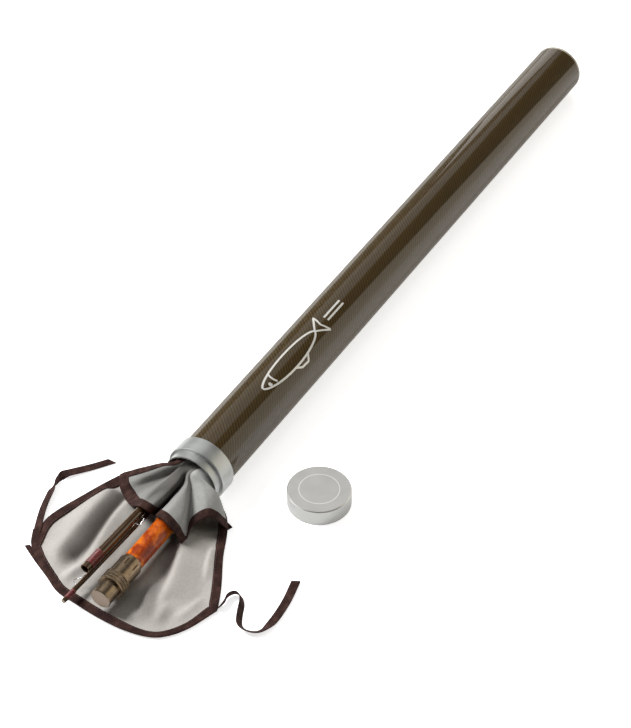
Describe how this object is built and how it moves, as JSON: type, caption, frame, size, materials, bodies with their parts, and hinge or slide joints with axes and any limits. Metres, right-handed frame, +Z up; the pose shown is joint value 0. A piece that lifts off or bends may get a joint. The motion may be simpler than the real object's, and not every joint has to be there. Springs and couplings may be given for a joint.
{
  "type": "rod case",
  "caption": "Composite fishing-rod tube lying down with its screw cap set aside and its pocketed cloth rod sock, holding rod sections, drawn out of the mouth.",
  "frame": {"origin": "on the floor under the middle of the object's box, measured without the two ties", "axes": "+X along the tube from its mouth to its base, +Y to the left seen from the mouth, +Z up"},
  "size_m": [0.864, 0.2514, 0.0559],
  "materials": {
    "tube_composite": "woven fibre composite under clear gloss",
    "satin_aluminium": "satin turned",
    "foam": "closed-cell foam",
    "sock_cloth": "brushed microfibre",
    "flap_cloth": "brushed microfibre",
    "binding_tape": "grosgrain tape",
    "bronze_hardware": "bronze anodised",
    "amber_wood": "figured wood under gloss varnish",
    "cork": "sanded cork",
    "rod_blank": "varnished dark brown",
    "thread_wrap": "silk thread under varnish",
    "guide_wire": "polished wire"
  },
  "bodies": {
    "tube": {"tube_shell": "tube_composite", "mouth_collar": "satin_aluminium", "base_cap": "satin_aluminium", "base_pad": "foam"},
    "sock": {"sock_sleeve": "sock_cloth", "sock_throat": "sock_cloth", "sock_flap": "flap_cloth", "flap_binding": "binding_tape", "pocket_left": "sock_cloth", "pocket_middle_section": "sock_cloth", "pocket_butt_section": "sock_cloth", "pocket_right": "sock_cloth", "pocket_left_binding": "binding_tape", "pocket_middle_section_binding": "binding_tape", "pocket_butt_section_binding": "binding_tape", "pocket_right_binding": "binding_tape", "tie_left": "binding_tape", "tie_right": "binding_tape"},
    "butt_section": {"butt_plate": "bronze_hardware", "seat_barrel": "bronze_hardware", "seat_insert": "amber_wood", "fixed_hood": "bronze_hardware", "cork_grip": "cork", "winding_check": "bronze_hardware", "butt_blank": "rod_blank"},
    "reel_hood": {"sliding_hood": "bronze_hardware"},
    "reel_nut": {"lock_nut": "bronze_hardware"},
    "middle_section": {"middle_ferrule": "rod_blank", "middle_blank": "rod_blank", "middle_wrap": "thread_wrap", "middle_snake_guide": "guide_wire"},
    "tip_section": {"tip_blank": "rod_blank", "tip_wrap": "thread_wrap", "tip_snake_guide": "guide_wire"},
    "liner": {"cap_liner": "foam"},
    "cap": {"cap_shell": "satin_aluminium"}
  },
  "joints": [
    {"name": "sock_slide", "type": "slide", "parent": "tube", "child": "sock", "axis": [-1, 0, 0.0037], "range_m": [0, 0.4]},
    {"name": "butt_slide", "type": "slide", "parent": "sock", "child": "butt_section", "axis": [-1, 0, 0], "range_m": [0, 0.45]},
    {"name": "middle_slide", "type": "slide", "parent": "sock", "child": "middle_section", "axis": [-0.9987, 0.0439, -0.024], "range_m": [0, 0.45]},
    {"name": "tip_slide", "type": "slide", "parent": "sock", "child": "tip_section", "axis": [-0.9984, 0.0499, -0.0256], "range_m": [0, 0.3]},
    {"name": "hood_slide", "type": "slide", "parent": "butt_section", "child": "reel_hood", "axis": [1, 0, 0], "range_m": [-0.012, 0.012]},
    {"name": "nut_turn", "type": "hinge", "parent": "reel_hood", "child": "reel_nut", "pos_m": [-0.39961, 0.00636, 0.0192], "axis": [1, 0, 0], "range_deg": [-3500, 3500]},
    {"name": "cap_lift", "type": "slide", "parent": "tube", "child": "liner", "axis": [0, 0, 1], "range_m": [0, 0.12]},
    {"name": "cap_turn", "type": "hinge", "parent": "liner", "child": "cap", "pos_m": [-0.21891, -0.08114, 0.012], "axis": [0, 0, 1], "continuous": true}
  ],
  "couplings": [
    {"joint": "nut_turn", "follows": "hood_slide", "rad_per_m": 5026.5}
  ]
}
